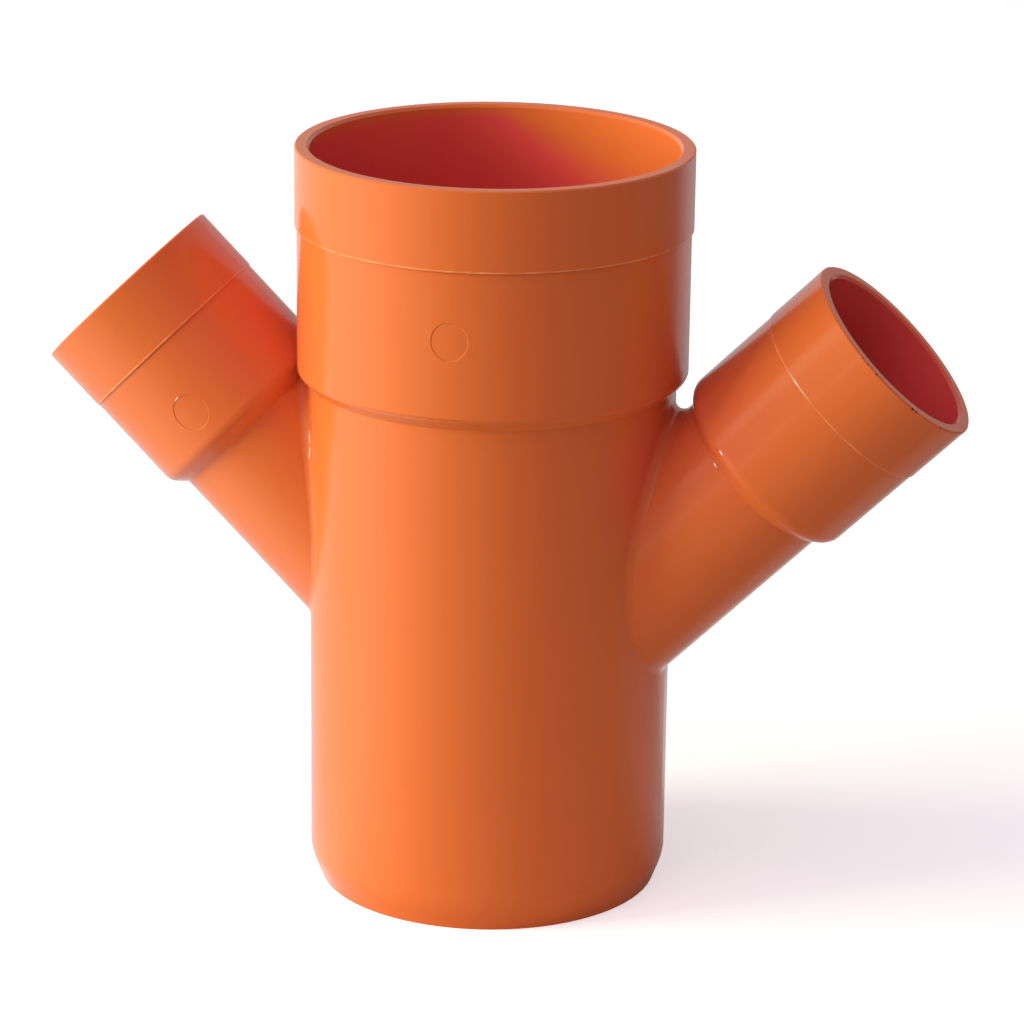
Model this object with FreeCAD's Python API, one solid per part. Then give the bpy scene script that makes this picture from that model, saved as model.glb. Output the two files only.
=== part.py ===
import FreeCAD, Part
import math
import os

# A double wye drain fitting, injection-moulded in one piece of solvent-weld PVC-U.
# A 100 mm barrel ends below in a plain spigot and above in a socket for a 100 mm
# pipe. Two 50 mm branches leave it at 45 degrees, opposite each other, and each
# ends in a socket for a 50 mm pipe. The left branch leaves the barrel a little
# higher than the right one and has a shorter tube, so the two rims end up almost
# level. The cavities lie open from end to end.
#
# Frame: Z is the barrel's axis, pointing up to its socket. The branches lie in the
# XZ plane, the right one towards +X. The origin is the centre of the spigot's end.
# Sizes are in millimetres, angles in degrees.

os.makedirs("parts", exist_ok=True)

# Barrel and spigot. The spigot is straight; above it the barrel widens a little
overall_height = 209.3
spigot_diameter = 100.0      # the main pipe's diameter
spigot_length = 60.0
barrel_widening = 1.0        # in diameter, from the spigot up to the socket's shoulder
barrel_wall = 3.7
end_chamfer_depth = 2.7      # taken off the spigot's outside, to enter a socket
end_chamfer_length = 7.0
end_chamfer_round = 12.0     # soft change from the chamfer to the barrel

# Socket for the main pipe
socket_clearance = 0.3       # of every socket's bore over its pipe, for the cement
main_socket_wall = 3.55
main_socket_length = 62.5    # outside, from the rim to the shoulder's corner
main_socket_depth = 60.0     # inside, from the rim to the pipe stop
main_band_depth = 22.0       # thicker band round the mouth
main_band_step = 0.6
main_corner_round = 1.8

# Sockets for the branch pipes
branch_tube_diameter = 49.8
branch_tube_wall = 3.0
branch_pipe_diameter = 50.0
branch_socket_wall = 3.4
branch_socket_length = 48.2
branch_socket_depth = 46.0
branch_band_depth = 19.3
branch_band_step = 0.3
branch_corner_round = 4.0

# Branches: the height at which a branch's axis leaves the barrel, and its length from
# there to the rim
branch_angle = 45.0
right_branch_exit = 99.5
right_branch_length = 86.0
left_branch_exit = 108.2
left_branch_length = 77.5

# Details that all three sockets share
shoulder_angle = 45.0        # slope of a shoulder, from the socket's axis
mouth_chamfer = 0.8          # lead-in for the pipe
rim_chamfer = 0.4            # outer edge of a rim
stop_chamfer = 0.8           # inner edge of a pipe stop
junction_round = 2.5         # fillet outside, where a branch meets the barrel

# Shallow round recesses that the mould leaves on the front of two sockets
mark_diameter = 10.6
mark_depth = 0.15
mark_wall_angle = 45.0       # slope of the recess's wall, from its own axis
main_mark_below_rim = 40.9
main_mark_turn = 0.6         # angle from the front towards the right branch
left_mark_below_rim = 38.2

# How edges are found for a fillet: places tested on each, and how near is on a surface
edge_samples = 7
same_place = 0.01

AXIS_Z = FreeCAD.Vector(0, 0, 1)
FRONT = FreeCAD.Vector(0, -1, 0)
ORIGIN = FreeCAD.Vector(0, 0, 0)

shoulder_slope = math.tan(math.radians(shoulder_angle))
main_socket_bore = spigot_diameter + socket_clearance
branch_socket_bore = branch_pipe_diameter + socket_clearance
main_socket_radius = main_socket_bore / 2 + main_socket_wall
branch_socket_radius = branch_socket_bore / 2 + branch_socket_wall
spigot_radius = spigot_diameter / 2
barrel_top_radius = (spigot_diameter + barrel_widening) / 2
main_socket_corner = overall_height - main_socket_length
barrel_top = main_socket_corner - (main_socket_radius - barrel_top_radius) / shoulder_slope
tube_radius = branch_tube_diameter / 2
tube_bore_radius = tube_radius - branch_tube_wall

# The same branches measured from the barrel's axis: where they cross it, and how far
# along their own axis the rim lies
lean = math.radians(branch_angle)
right_branch_height = right_branch_exit - spigot_radius / math.tan(lean)
right_branch_reach = right_branch_length + spigot_radius / math.sin(lean)
left_branch_height = left_branch_exit - spigot_radius / math.tan(lean)
left_branch_reach = left_branch_length + spigot_radius / math.sin(lean)


def rounded_outline(corners):
    """A closed face in the XZ plane from corners (radius, height, rounding)."""
    places = [FreeCAD.Vector(radius, 0, height) for radius, height, _ in corners]
    starts, ends, arcs = [], [], []
    for index, (_, _, rounding) in enumerate(corners):
        here = places[index]
        back = (places[index - 1] - here).normalize()
        ahead = (places[(index + 1) % len(places)] - here).normalize()
        if rounding == 0:
            starts.append(here)
            ends.append(here)
            arcs.append(None)
            continue
        half = back.getAngle(ahead) / 2
        tangent = rounding / math.tan(half)
        middle = (back + ahead).normalize() * (rounding / math.sin(half) - rounding)
        starts.append(here + back * tangent)
        ends.append(here + ahead * tangent)
        arcs.append(Part.Arc(starts[-1], here + middle, ends[-1]).toShape())
    edges = []
    for index, arc in enumerate(arcs):
        if arc is not None:
            edges.append(arc)
        next_start = starts[(index + 1) % len(starts)]
        edges.append(Part.LineSegment(ends[index], next_start).toShape())
    return Part.Face(Part.Wire(edges))


def turned(corners):
    """The solid that an outline sweeps in a full turn about the Z axis."""
    return rounded_outline(corners).revolve(ORIGIN, AXIS_Z, 360)


def along_branch(shape, side, height):
    """Lay a solid turned about Z on the axis of a branch; side is 1 right, -1 left."""
    placed = shape.copy()
    placed.rotate(ORIGIN, FreeCAD.Vector(0, 1, 0), side * branch_angle)
    placed.translate(FreeCAD.Vector(0, 0, height))
    return placed


def socket_body(rim, body_radius, length, band_depth, band_step, corner_round, tube):
    """Outside of a socket: band, wall and shoulder, filled down to the tube."""
    band_radius = body_radius + band_step
    corner = rim - length
    foot = corner - (body_radius - tube) / shoulder_slope
    return turned([
        (0, foot, 0),
        (tube, foot, 0),
        (body_radius, corner, corner_round),
        (body_radius, rim - band_depth, 0),
        (band_radius, rim - band_depth, 0),
        (band_radius, rim - rim_chamfer, 0),
        (band_radius - rim_chamfer, rim, 0),
        (0, rim, 0),
    ])


def socket_cavity(rim, bore, depth, passage):
    """Inside of a socket: lead-in, bore and pipe stop, with the passage below it.

    The passage is a list of corners (radius, height) from its start upwards. It keeps
    the last radius up to the stop.
    """
    stop = rim - depth
    mouth = bore / 2 + mouth_chamfer
    passage_radius = passage[-1][0]
    return turned([
        (0, passage[0][1], 0),
        *[(radius, height, 0) for radius, height in passage],
        (passage_radius, stop - stop_chamfer, 0),
        (passage_radius + stop_chamfer, stop, 0),
        (bore / 2, stop, 0),
        (bore / 2, rim - mouth_chamfer, 0),
        (mouth, rim, 0),
        (0, rim, 0),
    ])


def barrel():
    """Outside of the barrel, with the chamfered end of the spigot."""
    return turned([
        (0, 0, 0),
        (spigot_radius - end_chamfer_depth, 0, 0),
        (spigot_radius, end_chamfer_length, end_chamfer_round),
        (spigot_radius, spigot_length, 0),
        (barrel_top_radius, barrel_top, 0),
        (barrel_top_radius, main_socket_corner, 0),
        (0, main_socket_corner, 0),
    ])


def barrel_radius(height):
    """Outer radius of the barrel at a height between the chamfer and the shoulder."""
    share = (height - spigot_length) / (barrel_top - spigot_length)
    return spigot_radius + (barrel_top_radius - spigot_radius) * min(max(share, 0), 1)


def branch_tube(side, height, reach):
    """Outside of a branch's tube, from the barrel's axis up into its socket."""
    length = reach - branch_socket_length
    return along_branch(Part.makeCylinder(tube_radius, length), side, height)


def branch_socket(side, height, reach):
    body = socket_body(reach, branch_socket_radius, branch_socket_length, branch_band_depth,
                       branch_band_step, branch_corner_round, tube_radius)
    return along_branch(body, side, height)


def branch_cavity(side, height, reach):
    cavity = socket_cavity(reach, branch_socket_bore, branch_socket_depth,
                           [(tube_bore_radius, 0)])
    return along_branch(cavity, side, height)


def main_socket():
    return socket_body(overall_height, main_socket_radius, main_socket_length,
                       main_band_depth, main_band_step, main_corner_round,
                       barrel_top_radius)


def main_cavity():
    return socket_cavity(overall_height, main_socket_bore, main_socket_depth, [
        (spigot_radius - barrel_wall, 0),
        (spigot_radius - barrel_wall, spigot_length),
        (barrel_top_radius - barrel_wall, barrel_top),
    ])


def meeting_edges(shape, branches):
    """Edges that lie both on the barrel's surface and on a branch's surface."""
    found = []
    for edge in shape.Edges:
        points = edge.discretize(edge_samples)
        for side, height, _ in branches:
            direction = FreeCAD.Vector(side * math.sin(lean), 0, math.cos(lean))
            foot = FreeCAD.Vector(0, 0, height)
            off_barrel = max(abs(math.hypot(p.x, p.y) - barrel_radius(p.z))
                             for p in points)
            off_branch = max(abs(p.distanceToLine(foot, direction) - tube_radius)
                             for p in points)
            if max(off_barrel, off_branch) < same_place:
                found.append(edge)
    return found


def round_mark(foot, axis_direction, surface_radius):
    """Cutter for a shallow round recess in the front of a socket, level with its foot.

    The foot is the place on the socket's axis behind the recess's centre. The wall is
    part of a cone, and the floor follows the socket's round surface.
    """
    tip_depth = mark_diameter / 2 / math.tan(math.radians(mark_wall_angle))
    tip = foot + FRONT * (surface_radius - tip_depth)
    cone = Part.makeCone(0, mark_diameter, 2 * tip_depth, tip, FRONT)
    floor = Part.makeCylinder(surface_radius - mark_depth, 2 * mark_diameter,
                              foot - axis_direction * mark_diameter, axis_direction)
    return cone.cut(floor)


def main_mark():
    foot = FreeCAD.Vector(0, 0, overall_height - main_mark_below_rim)
    mark = round_mark(foot, AXIS_Z, main_socket_radius)
    mark.rotate(ORIGIN, AXIS_Z, main_mark_turn)
    return mark


def left_mark():
    direction = FreeCAD.Vector(-math.sin(lean), 0, math.cos(lean))
    foot = FreeCAD.Vector(0, 0, left_branch_height)
    foot = foot + direction * (left_branch_reach - left_mark_below_rim)
    return round_mark(foot, direction, branch_socket_radius)


def double_wye_body():
    branches = [
        (1, right_branch_height, right_branch_reach),
        (-1, left_branch_height, left_branch_reach),
    ]
    outside = barrel().fuse([branch_tube(*branch) for branch in branches])
    outside = outside.makeFillet(junction_round, meeting_edges(outside, branches))
    outside = outside.fuse([main_socket()] + [branch_socket(*branch) for branch in branches])

    inside = main_cavity().fuse([branch_cavity(*branch) for branch in branches])
    body = outside.cut(inside)
    body = body.cut(main_mark()).cut(left_mark())
    return body.removeSplitter()


body = double_wye_body()
print("solids", len(body.Solids), "valid", body.isValid(), "volume", round(body.Volume))
body.exportStep("parts/double_wye_body.step")
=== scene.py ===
import math
import bpy
from mathutils import Matrix, Vector

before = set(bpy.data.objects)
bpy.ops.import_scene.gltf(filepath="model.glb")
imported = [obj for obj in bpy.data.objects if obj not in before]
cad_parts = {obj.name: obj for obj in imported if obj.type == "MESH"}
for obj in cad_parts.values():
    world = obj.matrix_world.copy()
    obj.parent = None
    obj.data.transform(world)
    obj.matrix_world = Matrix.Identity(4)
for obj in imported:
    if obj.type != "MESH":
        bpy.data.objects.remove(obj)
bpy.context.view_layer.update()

scene = bpy.context.scene

# The fitting: one injection-moulded piece of orange PVC-U, coloured right through. A
# polished mould gave it a semi-gloss skin, with a few painted glints. Its bands' thin lower edges carry a
# painted highlight, painted shade makes its deep insides and notches redder, and the rim of the right
# branch has picked up a few dark specks of dirt.
pvc_orange = (0.776, 0.172, 0.040, 1)
pvc_flow = (0.755, 0.158, 0.038, 1)         # where the melt flowed a little differently
painted_shade_red = (0.85, 0.10, 0.080, 1)         # painted shade: the redder look of shaded walls that face each other
painted_lip_highlight = (0.95, 0.46, 0.18, 1)             # painted highlight along the thin lower edge of a mouth's band
speck_brown = (0.05, 0.022, 0.012, 1)
glint_white = (0.95, 0.90, 0.86, 1)
skin_roughness, flow_roughness, rim_roughness, speck_roughness = 0.15, 0.05, 0.2, 0.4

# heights along the barrel, and radii about its axis
barrel_top, socket_stop, main_lip = 0.2093, 0.1493, 0.1873
main_bore, barrel_bore, barrel_outside, main_band = 0.0505, 0.0471, 0.0508, 0.0536
# both branches lean 45 degrees, and the right one is given first
slant = math.sqrt(0.5)
branch_feet, branch_reaches = (0.0495, 0.0582), (0.156711, 0.148211)
branch_root, socket_depth, branch_band_depth = 0.05, 0.0462, 0.0193
branch_bore, tube_bore, branch_band, branch_outside, rim_outside = 0.0265, 0.0233, 0.0284, 0.0295, 0.0305
rim_height = 0.0003
# the painted highlight on a lip is broken up by noise: its contrast, how much of it is lost, and the
# faintest part
lip_width, lip_contrast, lip_loss, lip_faintest, lip_share = 0.0006, 2.2, 0.5, 0.25, 0.8

# the painted redder shade begins just below a mouth, and deeper where the window shines in
red_depth = 0.0010
lit_side, lit_start, lit_slope = (0.924, 0.383), 0.010, 0.75
red_start, red_fade, red_edge = 0.5, 0.6, 0.003
# painted redder shade: place and reach of the notches above the branches, and of the barrel beside the
# right one
notches = (((0.058, -0.012, 0.143), 0.036), ((-0.062, -0.012, 0.160), 0.036))
beside_branch = ((0.048, -0.016, 0.124), 0.026)
notch_share, beside_share = 0.45, 0.5

# specks on the right rim: degrees round it, and reach
speck_ring, speck_inset = 0.0287, 0.0002
speck_turns = ((104, 0.00030), (99.5, 0.00030), (92.6, 0.00042), (65, 0.00055), (62.2, 0.00045),
               (41, 0.00040), (36, 0.00030))
# glints: one stretch of the right lip, and short dashes by their two ends and half width
lip_glint = ((0.0888, -0.0262, 0.1555), 0.0045)
glints = (((0.0690, -0.0260, 0.1347), (0.0679, -0.0252, 0.1360), 0.00032),
          ((0.0669, -0.0229, 0.1303), (0.0660, -0.0221, 0.1315), 0.00028),
          ((-0.04694, -0.01934, 0.13077), (-0.04624, -0.02087, 0.12698), 0.00022),
          ((-0.04624, -0.02087, 0.12698), (-0.04625, -0.02186, 0.12299), 0.00022),
          ((-0.0825, -0.02855, 0.1385), (-0.0812, -0.02855, 0.1403), 0.00020))


class Value:
    """A socket that adds Math nodes when it is used in an expression."""

    def __init__(self, nodes, socket):
        self.nodes, self.socket = nodes, socket

    def math(self, operation, *others):
        inputs = {0: self}
        inputs.update({place + 1: other for place, other in enumerate(others)})
        return self.nodes.add("ShaderNodeMath", {"operation": operation}, inputs)

    def __add__(self, other):
        return self.math("ADD", other)

    def __radd__(self, other):
        return self.math("ADD", other)

    def __sub__(self, other):
        return self.math("SUBTRACT", other)

    def __rsub__(self, other):
        return (self * -1) + other

    def __mul__(self, other):
        return self.math("MULTIPLY", other)

    def __rmul__(self, other):
        return self.math("MULTIPLY", other)

    def __truediv__(self, other):
        return self.math("DIVIDE", other)

    def below(self, limit):
        return self.math("LESS_THAN", limit)

    def above(self, limit):
        return self.math("GREATER_THAN", limit)

    def at_least(self, limit):
        return self.math("MAXIMUM", limit)

    def held(self, lowest=0):
        """The value, kept between the lowest one and 1."""
        return self.at_least(lowest).math("MINIMUM", 1)


class Nodes:
    """The node tree of one material, with one method that adds any node."""

    def __init__(self, tree):
        self.tree = tree

    def add(self, kind, settings=None, inputs=None, output=0):
        """One output of a new node. A ramp's stops are (place, level) from place 0 to place 1."""
        node = self.tree.nodes.new(kind)
        for name, setting in (settings or {}).items():
            if name == "stops":
                for place, level in setting[1:-1]:
                    node.color_ramp.elements.new(place)
                for element, (place, level) in zip(node.color_ramp.elements, setting):
                    element.color = (level, level, level, 1)
            else:
                setattr(node, name, setting)
        for place, value in (inputs or {}).items():
            if isinstance(value, Value):
                self.tree.links.new(value.socket, node.inputs[place])
            else:
                node.inputs[place].default_value = value
        return Value(self, node.outputs[output])

    def mix(self, share, first, second):
        return self.add("ShaderNodeMix", {"data_type": "RGBA"}, {0: share, 6: first, 7: second}, output=2)

    def vector(self, operation, *vectors, output=0):
        return self.add("ShaderNodeVectorMath", {"operation": operation}, dict(enumerate(vectors)), output)


def highest(values):
    """The largest of the values at each point."""
    most, *others = values
    for value in others:
        most = most.at_least(value)
    return most


def near_places(nodes, point, places, firmness):
    """Firmness times 1 less the distance over the reach, held to 0 and 1, for the nearest place."""
    spots = []
    for centre, reach in places:
        distance = nodes.vector("DISTANCE", point, centre, output=1)
        spots.append(((1 - distance * (1 / reach)) * firmness).held())
    return highest(spots)


def dash(nodes, point, first, last, half_width):
    """2 less twice the distance over the half width, held to 0 and 1. The distance is from the
    dash's middle, and its part along the dash is shrunk by half width over half length."""
    middle, half = (Vector(first) + Vector(last)) / 2, (Vector(last) - Vector(first)) / 2
    direction = half.normalized()
    offset = nodes.vector("SUBTRACT", point, middle)
    shrink = nodes.vector("DOT_PRODUCT", offset, direction, output=1) * (half_width / half.length - 1)
    pull = nodes.add("ShaderNodeVectorMath", {"operation": "SCALE"}, {0: direction, "Scale": shrink})
    distance = nodes.vector("LENGTH", nodes.vector("ADD", offset, pull), output=1)
    return (2 - distance * (2 / half_width)).held()


def lip_line(height, foot):
    """1 less the distance from the lip's middle over half its width, and never below 0."""
    return (1 - ((height - foot - lip_width / 2) * (2 / lip_width)).math("ABSOLUTE")).at_least(0)


def moulded_pvc():
    """The orange plastic. Its masks go by the height and the distance from the axis, first of
    the barrel and then along each branch, whose axis runs up at 45 degrees from its foot."""
    material = bpy.data.materials.new("orange_pvc_moulded")
    material.use_nodes = True
    tree = material.node_tree
    nodes = Nodes(tree)
    shader = tree.nodes["Principled BSDF"]
    place = nodes.add("ShaderNodeTexCoord", output="Object")
    x, y, z = (nodes.add("ShaderNodeSeparateXYZ", inputs={0: place}, output=axis) for axis in "XYZ")

    from_axis = (x * x + y * y).math("SQRT")
    # painted shade: the bores are drawn redder below their mouths
    inside_shade = (from_axis.below(main_bore) * z.above(socket_stop)).at_least(from_axis.below(barrel_bore))
    lit_depth = (x * lit_side[0] + y * lit_side[1] - lit_start).at_least(0) * lit_slope
    depth = barrel_top - red_depth - z - lit_depth * red_start
    inside_shade = inside_shade * (depth / (lit_depth * red_fade + red_edge)).held()
    rims = z.above(barrel_top - rim_height)
    # painted highlight: the lower edge of the main mouth's band is drawn paler
    lip_highlights = lip_line(z, main_lip) * from_axis.above(main_band)

    for side, foot, reach in zip((1, -1), branch_feet, branch_reaches):
        along = (x * side + z - foot) * slant
        across = (x * side - z + foot) * slant
        off_axis = (across * across + y * y).math("SQRT")
        socket = off_axis.below(branch_bore) * along.above(reach - socket_depth)
        deep = ((reach - along) * (1 / red_depth)).held() * along.above(branch_root)
        inside_shade = inside_shade.at_least(off_axis.below(tube_bore).at_least(socket) * deep)
        rims = rims.at_least(along.above(reach - rim_height) * off_axis.below(rim_outside))
        lip = lip_line(along, reach - branch_band_depth)
        lip_highlights = lip_highlights.at_least(lip * off_axis.above(branch_band) * off_axis.below(branch_outside))

    speck_places = []
    for turn, reach in speck_turns:
        along = branch_reaches[0] - speck_inset
        across = speck_ring * math.cos(math.radians(turn))
        front = speck_ring * math.sin(math.radians(turn))
        centre = ((along + across) * slant, -front, branch_feet[0] + (along - across) * slant)
        speck_places.append((centre, reach))
    specks = near_places(nodes, place, speck_places, firmness=1.6)

    cloud = nodes.add("ShaderNodeTexNoise", inputs={"Vector": place, "Scale": 18.0, "Detail": 3.0})
    grain = nodes.add("ShaderNodeTexNoise", inputs={"Vector": place, "Scale": 900.0, "Detail": 2.0})
    broken = nodes.add("ShaderNodeTexNoise", inputs={"Vector": place, "Scale": 260.0, "Detail": 1.0})
    lip_highlights = lip_highlights * (broken * lip_contrast - lip_loss).held(lip_faintest)
    # painted shade in the notches above the branches and on the barrel beside the right one
    notched = near_places(nodes, place, notches, firmness=0.7) * notch_share
    beside = near_places(nodes, place, (beside_branch,), firmness=1.2) * from_axis.below(barrel_outside)
    shaded = (beside * beside_share).at_least(notched)
    shining = lip_highlights * near_places(nodes, place, (lip_glint,), firmness=1.5)
    shining = highest([dash(nodes, place, *glint) for glint in glints] + [shining])

    colour = nodes.mix(cloud, pvc_orange, pvc_flow)
    # painted shade: the bores drawn redder below their mouths
    colour = nodes.mix(inside_shade, colour, painted_shade_red)
    # painted shade: the notches and the barrel beside the right branch drawn redder
    colour = nodes.mix(shaded, colour, painted_shade_red)
    # painted highlight: the lower edges of the mouths' bands drawn paler, as if they caught the light
    colour = nodes.mix(lip_highlights * lip_share, colour, painted_lip_highlight)
    colour = nodes.mix(shining, colour, glint_white)
    colour = nodes.mix(specks, colour, speck_brown)
    roughness = skin_roughness + flow_roughness * cloud + speck_roughness * specks + rim_roughness * rims
    bump = nodes.add("ShaderNodeBump", inputs={"Strength": 0.05, "Distance": 0.0001, "Height": grain})
    tree.links.new(colour.socket, shader.inputs["Base Color"])
    tree.links.new(roughness.socket, shader.inputs["Roughness"])
    tree.links.new(bump.socket, shader.inputs["Normal"])
    shader.inputs["IOR"].default_value = 1.5
    return material


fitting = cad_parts["double_wye_body"]
fitting.data.materials.clear()
fitting.data.materials.append(moulded_pvc())

# The paper that it stands on: white, matt, and large enough to fill the picture. Glossy
# rays see the room's brightness in it, by the angle to the left of the photo's camera, and
# some more close to the fitting, behind it on the right.
paper_white, paper_far, black = (0.86, 0.86, 0.86, 1), (0.45, 0.45, 0.45, 1), (0, 0, 0, 1)
paper_half, paper_glow = 6, 0.55
dim_start, dim_slope = 0.25, 3
corner_gleam, corner_end, corner_slope, corner_edge = 0.22, 0.3, 6, 0.05
gleam_on_paper = ((15, 0.03), (30, 0.08), (45, 0.42), (60, 0.74), (75, 1.05), (90, 1.0), (105, 0.87),
                  (135, 0.83), (165, 0.86), (180, 0.71), (195, 0.38), (212, 0.62), (226, 0.52),
                  (236, 0.2), (270, 0.18), (285, 0.10), (345, 0.04))
camera_azimuth = 12.7                       # degrees from the front towards +X


def round_the_room(nodes, direction, levels):
    """The level in a direction, on straight lines between (degrees to the camera's left, level)."""
    turned = nodes.add("ShaderNodeMapping", {"vector_type": "POINT"},
                       {"Vector": direction, "Rotation": (0, 0, math.radians(-camera_azimuth))})
    angle = nodes.add("ShaderNodeTexGradient", {"gradient_type": "RADIAL"}, {"Vector": turned})
    # the radial gradient is 0 at -X, a quarter at -Y and a half at +X
    stops = sorted(((0.25 - left / 360) % 1.0, level) for left, level in levels)
    seam = stops[0][0] / (stops[0][0] + 1 - stops[-1][0])
    between = stops[0][1] * (1 - seam) + stops[-1][1] * seam
    return nodes.add("ShaderNodeValToRGB", {"stops": [(0, between), *stops, (1, between)]}, {0: angle})


floor_corners = [(x * paper_half, y * paper_half, 0) for x, y in ((-1, -1), (1, -1), (1, 1), (-1, 1))]
floor_mesh = bpy.data.meshes.new("floor")
floor_mesh.from_pydata(floor_corners, [], [(0, 1, 2, 3)])
floor = bpy.data.objects.new("floor", floor_mesh)
scene.collection.objects.link(floor)

paper = bpy.data.materials.new("white_paper")
paper.use_nodes = True
nodes = Nodes(paper.node_tree)
shader = paper.node_tree.nodes["Principled BSDF"]
camera_ray, glossy_ray = (nodes.add("ShaderNodeLightPath", output=kind) for kind in
                          ("Is Camera Ray", "Is Glossy Ray"))
place = nodes.add("ShaderNodeTexCoord", output="Object")
beside, behind = (nodes.add("ShaderNodeSeparateXYZ", inputs={0: place}, output=axis) for axis in "XY")
far = nodes.vector("LENGTH", place, output=1)
dimmed = ((far - dim_start) * dim_slope).held() * (1 - camera_ray)
corner = (beside.math("MINIMUM", behind) * (1 / corner_edge)).held()
corner = corner * ((corner_end - far) * corner_slope).held()
mirrored = round_the_room(nodes, place, gleam_on_paper) + corner * corner_gleam
gleam = camera_ray * paper_glow + glossy_ray * mirrored
bright = nodes.mix(dimmed, paper_white, paper_far)
paper.node_tree.links.new(nodes.mix(glossy_ray, bright, black).socket, shader.inputs["Base Color"])
paper.node_tree.links.new(gleam.socket, shader.inputs["Emission Strength"])
shader.inputs["Roughness"].default_value = 1.0
shader.inputs["Specular IOR Level"].default_value = 0.0
shader.inputs["Emission Color"].default_value = (1, 1, 1, 1)
floor.data.materials.append(paper)

# The room: a soft window light from the left, a weaker pinkish fill all round, and a white
# wall for the camera. Fill and gleam have one ring of levels at the horizon and one from 30
# degrees up, by the angle to the left of the photo's camera.
fill_low = ((0, 0.09), (30, 0.94), (60, 1.58), (90, 1.79), (120, 1.46), (150, 1.07), (180, 0.79),
            (210, 0.81), (240, 0.87), (270, 0.71), (300, 0.36), (330, 0.06))
fill_high = ((0, 0.6), (30, 1.2), (60, 1.2), (90, 0.85), (120, 0.3), (150, 0.05), (180, 0.0),
             (210, 0.08), (240, 0.22), (270, 0.3), (300, 0.3), (330, 0.3))
gleam_low = ((0, 0.0), (39.5, 0.0), (41, 1.6), (42.5, 0.0), (75, 0.03), (90, 0.31), (120, 0.88),
             (150, 0.99), (180, 0.5), (210, 0.55), (240, 1.1), (270, 0.26), (300, 0.19), (330, 0.0))
gleam_high = ((0, 0.0), (60, 0.36), (120, 0.91), (180, 0.78), (240, 0.60), (300, 0.15))
fill_low_colour, fill_high_colour, white = (1.06, 0.95, 1.01, 1), (1.06, 0.80, 0.98, 1), (1, 1, 1, 1)
window_place, window_target, window_size = Vector((-1.656, -0.687, 0.613)), Vector((0, 0, 0.1)), 1.0
window_watts, window_colour = 39, (0.81, 1.0, 0.62)

world = bpy.data.worlds.new("room")
scene.world = world
world.use_nodes = True
nodes = Nodes(world.node_tree)
camera_ray, clear_ray, glossy_ray = (nodes.add("ShaderNodeLightPath", output=kind) for kind in
                                     ("Is Camera Ray", "Is Transmission Ray", "Is Glossy Ray"))
seen = camera_ray.at_least(clear_ray)
direction = nodes.add("ShaderNodeTexCoord", output="Generated")
height = nodes.add("ShaderNodeSeparateXYZ", inputs={0: direction}, output="Z")
rise = (height * 2).held()
fill = round_the_room(nodes, direction, fill_low) * (1 - rise)
fill = fill + round_the_room(nodes, direction, fill_high) * rise
gleam = round_the_room(nodes, direction, gleam_low) * (1 - rise)
gleam = gleam + round_the_room(nodes, direction, gleam_high) * rise
level = seen + (1 - seen) * (glossy_ray * gleam + (1 - glossy_ray) * fill)
colour = nodes.mix(rise, fill_low_colour, fill_high_colour)
colour = nodes.mix(seen.at_least(glossy_ray), colour, white)
background = world.node_tree.nodes["Background"]
world.node_tree.links.new(colour.socket, background.inputs["Color"])
world.node_tree.links.new(level.socket, background.inputs["Strength"])

lamp = bpy.data.lights.new("window", "AREA")
lamp.shape, lamp.size, lamp.size_y = "RECTANGLE", window_size, window_size
lamp.energy, lamp.color = window_watts, window_colour
window = bpy.data.objects.new("window", lamp)
window.location = window_place
window.rotation_euler = (window_target - window_place).to_track_quat("-Z", "Y").to_euler()
window.visible_glossy = False
scene.collection.objects.link(window)

# The camera: in front of the fitting, a little to the right, looking down at it through a
# long lens.
camera_place, camera_lens, film_width = Vector((0.25461, -1.10316, 0.46936)), 150.79, 36
azimuth, down, roll = math.radians(12.704), math.radians(17.83), 0.01295
look = Vector((-math.sin(azimuth) * math.cos(down), math.cos(azimuth) * math.cos(down), -math.sin(down)))
level_right = Vector((math.cos(azimuth), math.sin(azimuth), 0))
level_up = level_right.cross(look)
right = (level_right + level_up * roll).normalized()
up = right.cross(look)
camera_data = bpy.data.cameras.new("camera")
camera_data.lens, camera_data.sensor_width = camera_lens, film_width
camera_data.clip_start, camera_data.clip_end = 0.05, 30
camera = bpy.data.objects.new("camera", camera_data)
camera.matrix_world = Matrix.Translation(camera_place) @ Matrix((right, up, -look)).transposed().to_4x4()
scene.collection.objects.link(camera)
scene.camera = camera

scene.view_settings.view_transform = "Standard"
